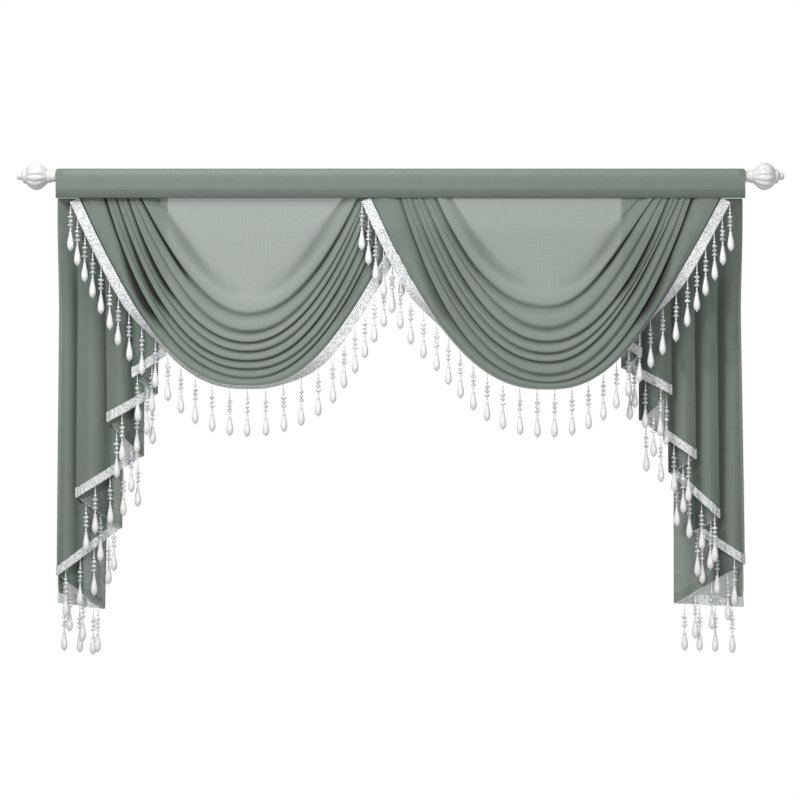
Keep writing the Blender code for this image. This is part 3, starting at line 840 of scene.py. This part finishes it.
def swag_row(upper, lower, share, phase, ends, stand):
    """One row of a swag, part way from one fold line to the next.

    share: how far down from the upper line. phase: place in the pleat's wave in degrees, 180 in
    the crease and 360 on the ridge. ends: places along the row, 0 at the left end of the seam and
    1 at its right end. Also returns the plies added there by a crease, partly denser cloth and partly
    painted shade, and by the painted shadow of a slit where that is darker.
    """
    x, fall, slope_x, slope_fall = fold_line(upper, lower, share, ends)
    seam_share = np.abs(2.0 * ends - 1.0)
    towards_lower = float(ease(2.0 * share - 1.0))
    reliefs = [
        upper[column] + (lower[column] - upper[column]) * towards_lower
        for column in ("relief_middle", "relief_side", "relief_seam")
    ]
    relief = np.interp(seam_share, (0.0, SIDE_PLACE, 1.0), reliefs) * MM
    lap = relief * (LAP_MIDDLE + (LAP_SEAM - LAP_MIDDLE) * seam_share ** 2)
    creased = (1.0 - math.cos(math.radians(phase))) / 2.0
    wave = 1.0 - 2.0 * creased ** CREASE_SHARPNESS
    out_x = -slope_fall * lap * wave
    out_fall = slope_x * lap * wave
    fall_shown = np.where((ends > 0.0) & (ends < 1.0), np.maximum(fall + out_fall, 0.0), 0.0)
    depth = stand["seam_depth"] * MM - stand["lead"] * MM * ease(fall / LEAD_REACH)
    depth = depth - stand["belly"] * MM * (fall / BELLY_REACH) ** 2 - relief * wave
    depth = depth + relief * CREASE_DEEPER * creased ** CREASE_SHARPNESS * ease(fall / LEAD_REACH)
    top = SEAM_HEIGHT - SEAM_GAP
    crease_and_slit_shade = CREASE_SHADE_PLIES * creased ** CREASE_NARROW * (relief / DEEP_CREASE) ** CREASE_GROWTH
    gap = line_gap(upper, lower, ends)
    below = slit_shade(upper, np.maximum(share - SLIT_HIDDEN, 0.0) * gap, seam_share)
    above = slit_shade(lower, SLIT_ABOVE * (1.0 - share) * gap, seam_share)
    slit_shadows = np.where(ends < 0.5, stand["slit_shadow_left"], stand["slit_shadow_right"])
    crease_and_slit_shade = np.maximum(crease_and_slit_shade, slit_shadows * np.maximum(below, above))
    return np.stack((x + out_x, depth, top - fall_shown), axis=-1), crease_and_slit_shade


def gathered(down, ends, more):
    """The plies of voile between creases, part way down a swag and from one side to the other."""
    middle = np.interp(down, PLIES_DOWN, PLIES_MIDDLE)
    side = np.interp(down, PLIES_DOWN, PLIES_SIDE)
    return more + middle + (side - middle) * ease(np.abs(2.0 * ends - 1.0) / GATHERED_FROM)


def swag_grid(table, stand, columns):
    """The swag's surface: a flat top, then its pleats, then the hem. Also its plies of voile.

    The flat top ends in a crease. Each pleat rises from its crease to a ridge and falls to the next
    crease, but the last one falls only half way, to the hem.
    """
    slit_shadows = named_rows(SLIT_COLUMNS, SLIT_SHADOWS)
    lines = [dict(line, **slit) for line, slit in zip(named_rows(SWAG_COLUMNS, table), slit_shadows)]
    ends = np.linspace(0.0, 1.0, columns)
    first = lines[0]
    seam = dict(first, left=first["left"] + FLAT_TOP_INSET, right=first["right"] - FLAT_TOP_INSET)
    seam.update(drop=0.0, relief_seam=0.0, relief_side=0.0, relief_middle=0.0)
    more = stand["plies_top"] - PLIES_TOP
    rows = []
    for share in np.linspace(0.0, 1.0, FLAT_TOP_ROWS, endpoint=False):
        phase = CREASE_PHASE + QUARTER_WAVE * (1.0 - float(ease(2.0 * share - 1.0)))
        line, crease_and_slit_shade = swag_row(seam, first, share, phase, ends, stand)
        near_pleats = float(ease((share - FLAT_UNTIL) / (1.0 - FLAT_UNTIL)))
        in_pleats = gathered(0.0, ends, more) + crease_and_slit_shade
        rows.append((line, stand["plies_top"] + (in_pleats - stand["plies_top"]) * near_pleats))
    for number, (upper, lower) in enumerate(zip(lines[:-1], lines[1:])):
        for share in np.linspace(0.0, 1.0, ROWS_PER_PLEAT, endpoint=False):
            after_ridge = QUARTER_WAVE if lower is lines[-1] else HALF_WAVE
            phase = CREASE_PHASE + HALF_WAVE * min(2.0 * share, 1.0)
            phase += after_ridge * max(2.0 * share - 1.0, 0.0)
            line, crease_and_slit_shade = swag_row(upper, lower, share, phase, ends, stand)
            rows.append((line, gathered((number + share) / (len(lines) - 1), ends, more) + crease_and_slit_shade))
    hem, crease_and_slit_shade = swag_row(lines[-1], lines[-1], 0.0, CREASE_PHASE + QUARTER_WAVE, ends, stand)
    rows.append((hem, gathered(1.0, ends, more) + crease_and_slit_shade))
    return np.array([line for line, _ in rows]), np.array([plies for _, plies in rows])


def swag_braid(hem, stand):
    """The direction across the braid, at each point of a swag's hem."""
    tangent = unit(np.gradient(hem, axis=0))
    outward = unit(np.stack((tangent[:, 2], 0.0 * tangent[:, 0], -tangent[:, 0]), axis=-1))
    places = np.linspace(-1.0, 1.0, len(hem))
    half_turned = np.where(places < 0.0, stand["turn_left"], stand["turn_right"])
    turned = ease((1.0 - np.abs(places) - half_turned) / TURN_SPAN + 0.5)
    turn = math.radians(stand["turn_under"]) * turned
    back = np.array((0.0, 1.0, 0.0))
    across = outward * np.cos(turn)[:, None] + back * np.sin(turn)[:, None]
    across = across - tangent * np.sum(across * tangent, axis=-1, keepdims=True)
    return unit(across)


def build_swag(side, table, stand_row):
    """A swag, its braid and its bead drops."""
    stand = dict(zip(SWAG_STAND_COLUMNS, stand_row))
    columns = (stand["drops"] - 1) * POINTS_PER_DROP + 1
    grid, plies = swag_grid(table, stand, columns)
    piece = new_piece("voile_swag_" + side, *shell(grid, VOILE), cloth_finish, sharp_degrees=70.0)
    weave_map(piece, [grid])
    lay_plies(piece, [plies])
    point_outward(piece)
    belongs(piece, "sage_voile", "swag_" + side)
    hem = grid[-1]
    across = swag_braid(hem, stand)
    face = unit(np.cross(across, np.gradient(hem, axis=0)))
    face = face * np.where(face[:, 1:2] > 0.0, -1.0, 1.0)
    length = running_length(hem)
    roots = length[::POINTS_PER_DROP].copy()
    roots[0] += ROOT_WIDTH
    roots[-1] -= ROOT_WIDTH
    inner = hem + across * BRAID_GAP
    outer = hem + across * (BRAID_GAP + BRAID_WIDTH)
    root_points = np.array([
        [np.interp(root, length, outer[:, axis]) for axis in range(3)] for root in roots
    ])
    trims = build_trim("swag_" + side, inner, across, face, 0.0, root_points, stand["lean"])


# ---------------------------------------------------------------- tails


def layer_pitch(fall):
    """The distance between two layers of a tail: tight in the seam, open further down."""
    return LAYER_PITCH_TOP + (LAYER_PITCH_HEM - LAYER_PITCH_TOP) * ease(fall / LAYER_OPEN_REACH)


def layer_bulge(folds, layer, x):
    """How far a layer stands forward at x, and its painted tuck shade there, both from 0 to 1."""
    rise = 0.0
    tuck_shade = 0.0
    for outer in range(1, min(layer, len(folds) - 2) + 2, 2):
        edge = abs(folds[min(outer, len(folds) - 1)]["hem"]) * MM
        before = abs(folds[outer - 2]["hem"] if outer > 1 else folds[0]["hem"]) * MM
        if abs(x) >= before:
            inwards = float(np.clip((edge - abs(x)) / max(edge - before, 1.0 * MM), 0.0, 1.0))
            rise = math.sin(math.pi * inwards ** BULGE_LEAN) * (1.0 if outer > 1 else INNER_RISE)
            tuck_shade = float(ease((inwards - TUCK_START) / (1.0 - TUCK_START))) if outer > 1 else 0.0
        elif outer > 1:
            kept = float(ease((before - abs(x)) / FALL_BACK_WIDTH))
            rise = rise * kept
            tuck_shade = 1.0 - kept
    return rise, tuck_shade


def tail_point(start, end, place, layer, level, extra=0.0):
    """A point of a layer, at a place from its start fold (0) to its end fold (1).

    level: how far below the seam, up to 1 where the layers are fully open, and 2 at the hem.
    extra: how much further down.
    """
    def at_place(column):
        return (start[column] + (end[column] - start[column]) * place) * MM

    open_fall = LAYER_OPEN_REACH * min(level, 1.0)
    fall = open_fall + (at_place("drop") - LAYER_OPEN_REACH) * max(level - 1.0, 0.0) + extra
    x = at_place("top") + (at_place("hem") - at_place("top")) * fall / at_place("drop")
    return x, fall, TAIL_DEPTH + layer * layer_pitch(fall)


def tail_line(folds, level, extra=0.0):
    """A row of a tail, back and forth through its folds, at one level: its points and its plies."""
    line = []
    plies = []

    def add_point(x, fall, depth, layer, shift):
        rise, tuck_shade = layer_bulge(folds, layer, x)
        reach = float(ease(fall / RISE_REACH))
        line.append((x + shift, depth - PANEL_RISE * reach * rise, SEAM_HEIGHT - SEAM_GAP - fall))
        plies.append(1.0 + TUCK_SHADE_PLIES * reach * tuck_shade)

    for layer, (start, end) in enumerate(zip(folds[:-1], folds[1:])):
        way = math.copysign(1.0, end["hem"] - start["hem"])
        for place in np.linspace(0.0, 1.0, PANEL_STEPS + 1):
            x, fall, depth = tail_point(start, end, place, layer, level, extra)
            draw_in = layer_pitch(fall) * FOLD_DRAW_IN * (1.0 - 2.0 * place)
            add_point(x, fall, depth, layer, way * draw_in)
        if end is folds[-1]:
            continue
        x, fall, depth = tail_point(start, end, 1.0, layer, level, extra)
        pitch = layer_pitch(fall)
        for step in range(1, TURN_STEPS):
            turn = math.pi * step / TURN_STEPS
            reach = way * pitch * FOLD_DRAW_IN * (math.sin(turn) - 1.0)
            add_point(x, fall, depth + pitch * (1.0 - math.cos(turn)) / 2.0, layer, reach)
    return np.array(line), plies


def build_tail(side, table):
    """A tail, its braid and its bead drops."""
    folds = named_rows(TAIL_COLUMNS, table)
    levels = np.concatenate((
        np.linspace(0.0, 1.0, OPENING_ROWS, endpoint=False),
        np.linspace(1.0, 2.0, OPEN_ROWS),
    ))
    rows = [tail_line(folds, level) for level in levels]
    hem = rows[-1][0]
    reach = BRAID_GAP + BRAID_WIDTH - BRAID_SHOWS
    rows += [tail_line(folds, 2.0, reach * share) for share in (0.5, 1.0)]
    grid = np.array([line for line, _ in rows])
    piece = new_piece("voile_tail_" + side, *shell(grid, VOILE), cloth_finish, sharp_degrees=70.0)
    weave_map(piece, [grid])
    lay_plies(piece, [[plies for _, plies in rows]])
    point_outward(piece)
    belongs(piece, "sage_voile", "tail_" + side)
    face = sheet_normals(grid[-3:])[1]
    face = face * (-1.0 if face[PANEL_STEPS // 2, 1] > 0.0 else 1.0)
    down = unit(grid[-1] - hem)
    root_points = []
    for layer, fold in enumerate(folds[:-1]):
        first = layer * (PANEL_STEPS + TURN_STEPS)
        panel = hem[first:first + PANEL_STEPS + 1]
        outer = panel + np.array((0.0, 0.0, -(BRAID_GAP + BRAID_WIDTH)))
        length = running_length(panel)
        for index in range(fold["count"]):
            root = (fold["first"] + fold["step"] * index) * MM
            root_points.append([np.interp(root, length, outer[:, axis]) for axis in range(3)])
    inner = hem + down * BRAID_GAP
    trims = build_trim("tail_" + side, inner, down, face, BRAID_OFF_CLOTH, np.array(root_points), 0.0)


# ---------------------------------------------------------------- braid and bead drops


def braid_relief(along, across):
    """Height of the plait, from 0 to 1, at a length along the braid and a share across it."""
    plait = 0.0
    for centre, lean in STRANDS:
        inside = np.clip(1.0 - np.abs(across - centre) / STRAND_WIDTH, 0.0, 1.0)
        turns = along / PLAIT_PITCH + lean * (across - centre) * STRAND_SLANT
        plait = plait + np.sqrt(inside) * (0.5 + 0.5 * np.cos(2.0 * math.pi * turns))
    cord = np.clip(1.0 - np.abs(np.abs(across - 0.5) - CORD_PLACE) / CORD_WIDTH, 0.0, 1.0)
    return np.clip(plait + CORD_HEIGHT * cord, 0.0, 1.0)


def build_braid(name, inner, across, face, off):
    """A flat plait with picots on both edges, laid from its inner edge outwards.

    across, face: its directions at each point of that edge. off: how far it lies off that edge.
    """
    length = running_length(inner)
    count = int(length[-1] / PLAIT_PITCH * PLAIT_STEPS)
    places = np.linspace(0.0, length[-1], count + 1)

    def along(values):
        return np.stack([np.interp(places, length, values[:, axis]) for axis in range(3)], axis=-1)

    start = along(inner)
    side = unit(along(across))
    out = unit(along(face))
    saw = np.abs(2.0 * ((places / PLAIT_PITCH) % 1.0) - 1.0) * 2.0 - 1.0
    front = []
    back = []
    for share in np.linspace(0.0, 1.0, PLAIT_ROWS + 1):
        at_edge = max(0.0, abs(share - 0.5) - PICOT_FROM) / (0.5 - PICOT_FROM)
        shift = PICOT * saw * at_edge * math.copysign(1.0, share - 0.5)
        base = start + side * (BRAID_WIDTH * share + shift)[:, None] + out * off
        relief = PLAIT_RELIEF * (braid_relief(places, share) - 1.0)
        front.append(base + out * (BRAID_THICKNESS / 2.0 + relief)[:, None])
        back.append(base - out * (BRAID_THICKNESS / 2.0 + relief)[:, None])
    loop = np.array(front + back[::-1])
    rows, columns = loop.shape[:2]
    points = loop.reshape(-1, 3)
    faces = []
    for row in range(rows):
        lower = (row + 1) % rows
        for place in range(columns - 1):
            faces.append((
                row * columns + place, lower * columns + place,
                lower * columns + place + 1, row * columns + place + 1,
            ))
    faces.append([row * columns for row in range(rows)])
    faces.append([row * columns + columns - 1 for row in range(rows)][::-1])
    piece = new_piece("braid_" + name, points, faces, trim_finish, sharp_degrees=40.0)
    point_outward(piece)
    return piece


def lathed(profile, sides):
    """A closed turned body about the vertical axis. profile: how far below, and the radius, in mm."""
    turns = np.arange(sides) * 2.0 * math.pi / sides
    points = [
        (radius * math.cos(turn) * MM, radius * math.sin(turn) * MM, -below * MM)
        for below, radius in profile for turn in turns
    ]
    faces = []
    for ring in range(len(profile) - 1):
        for step in range(sides):
            after = (step + 1) % sides
            first = ring * sides + step
            second = ring * sides + after
            faces.append((first, first + sides, second + sides, second))
    faces.append(tuple(range(sides)))
    last = (len(profile) - 1) * sides
    faces.append(tuple(range(last + sides - 1, last - 1, -1)))
    return np.array(points), faces


def ball_profile(centre, radius):
    """The profile of a seed bead, from its top to its foot."""
    turns = [math.radians(ring) for ring in SEED_RINGS]
    return [(centre - radius * math.cos(turn), radius * math.sin(turn)) for turn in turns]


def drop_parts():
    """The bodies on one bead drop, under the name of the piece that they belong to.

    With them come the piece's finish and the angle from which an edge is sharp.
    """
    seeds = [
        lathed(ball_profile(centre, radius), SEED_SIDES)
        for centre, radius in zip(SEED_CENTRES, SEED_RADII)
    ]
    links = [lathed(THREAD, THREAD_SIDES), lathed(CAP, CAP_SIDES)] + seeds
    crystals = [
        lathed([(centre + below, width * radius) for below, radius in CRYSTAL], CRYSTAL_SIDES)
        for centre, width in zip(CRYSTAL_CENTRES, CRYSTAL_WIDTHS)
    ]
    return {
        "links_": (links, link_finish, 50.0),
        "crystals_": (crystals, crystal_finish, None),
        "pearls_": ([lathed(PEARL, PEARL_SIDES)], pearl_finish, 60.0),
    }


def build_drops(name, roots, lean):
    """The bead drops at these roots, joined by what they are made of.

    lean: how far the tips of those at the seam lean into the room (mm).
    """
    draws = random.Random(name)
    turns = []
    for root in roots:
        near_seam = 1.0 - float(ease((SEAM_HEIGHT - root[2]) / LEAN_REACH))
        turn = draws.uniform(0.0, math.pi)
        swing = draws.uniform(-DROP_SWING, DROP_SWING)
        turns.append((turn, swing, lean * near_seam / DROP_LENGTH))
    pieces = []
    for start, (bodies, finish, sharp) in drop_parts().items():
        parts = []
        for root, (turn, swing, tip_lean) in zip(roots, turns):
            for points, faces in bodies:
                spun = np.stack((
                    points[:, 0] * math.cos(turn) - points[:, 1] * math.sin(turn),
                    points[:, 0] * math.sin(turn) + points[:, 1] * math.cos(turn),
                    points[:, 2],
                ), axis=-1)
                spun[:, 0] -= points[:, 2] * swing
                spun[:, 1] += points[:, 2] * tip_lean
                parts.append((spun + root, faces))
        piece = new_piece(start + name, *joined(parts), finish, sharp)
        if finish is crystal_finish:
            # Each facet draws a random painted glint.
            layer = piece.data.attributes.new("painted_glint", "FLOAT", "FACE")
            for value in layer.data:
                value.value = draws.random() ** GLINTS_RARE
        point_outward(piece)
        pieces.append(piece)
    return pieces


def build_trim(name, inner, across, face, off, roots, lean):
    """A braid and its bead drops. Returns the pieces."""
    pieces = [build_braid(name, inner, across, face, off)] + build_drops(name, roots, lean)
    for piece in pieces:
        belongs(piece, "beaded_braid", "fringe_" + name)
    return pieces


# ---------------------------------------------------------------- finials


def build_finial(name, side):
    """A turned ball with twelve ribs, a ring at each end and a short tip.

    side: -1 at the left end of the rod and 1 at its right end.
    """
    stages = named_rows(FINIAL_COLUMNS, FINIAL)
    sides = FINIAL_RIBS * SIDES_PER_RIB
    bpy.ops.object.select_all(action="DESELECT")
    bpy.ops.mesh.primitive_circle_add(
        vertices=sides, radius=stages[0]["radius"] * MM, fill_type="NOTHING",
        location=(side * FINIAL_START, 0.0, 0.0), rotation=(0.0, math.radians(90.0), 0.0),
    )
    piece = bpy.context.object
    piece.name = name
    bpy.ops.object.transform_apply(location=True, rotation=True, scale=True)
    bpy.ops.object.mode_set(mode="EDIT")
    bpy.ops.mesh.select_all(action="SELECT")
    bpy.ops.mesh.edge_face_add()
    for before, stage in zip(stages[:-1], stages[1:]):
        bpy.ops.mesh.extrude_region_move(
            TRANSFORM_OT_translate={"value": (side * (stage["along"] - before["along"]) * MM, 0.0, 0.0)}
        )
        wider = stage["radius"] / before["radius"]
        middle = (side * (FINIAL_START + stage["along"] * MM), 0.0, 0.0)
        bpy.ops.transform.resize(value=(1.0, wider, wider), center_override=middle)
    bpy.ops.object.mode_set(mode="OBJECT")
    for stage in stages:
        if not stage["fluted"]:
            continue
        for vertex in piece.data.vertices:
            if abs(side * vertex.co.x - FINIAL_START - stage["along"] * MM) > SAME_STAGE:
                continue
            turn = math.atan2(vertex.co.z, vertex.co.y) / (2.0 * math.pi) * sides
            step = round(turn) % SIDES_PER_RIB
            depth = RIB_DEPTHS[min(step, SIDES_PER_RIB - step)] * stage["fluted"]
            vertex.co.y *= 1.0 - depth
            vertex.co.z *= 1.0 - depth
    piece.data.materials.append(finial_finish)
    smooth = piece.modifiers.new("smooth", "SUBSURF")
    smooth.levels = 1
    smooth.render_levels = 1
    bpy.ops.object.modifier_apply(modifier="smooth")
    point_outward(piece)
    bpy.context.view_layer.objects.active = piece
    piece.data.shade_smooth()
    piece.data.set_sharp_from_angle(angle=math.radians(50.0))
    belongs(piece, "finial_white", name.replace("ball_", ""))


# ---------------------------------------------------------------- the whole drape

set_camera()
set_studio()
for material_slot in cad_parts["rod"].material_slots:
    material_slot.material = rod_finish
build_heading()
build_swag("left", LEFT_SWAG, LEFT_STAND)
build_swag("right", RIGHT_SWAG, RIGHT_STAND)
build_tail("left", LEFT_TAIL)
build_tail("right", RIGHT_TAIL)
build_finial("ball_finial_left", side=-1.0)
build_finial("ball_finial_right", side=1.0)
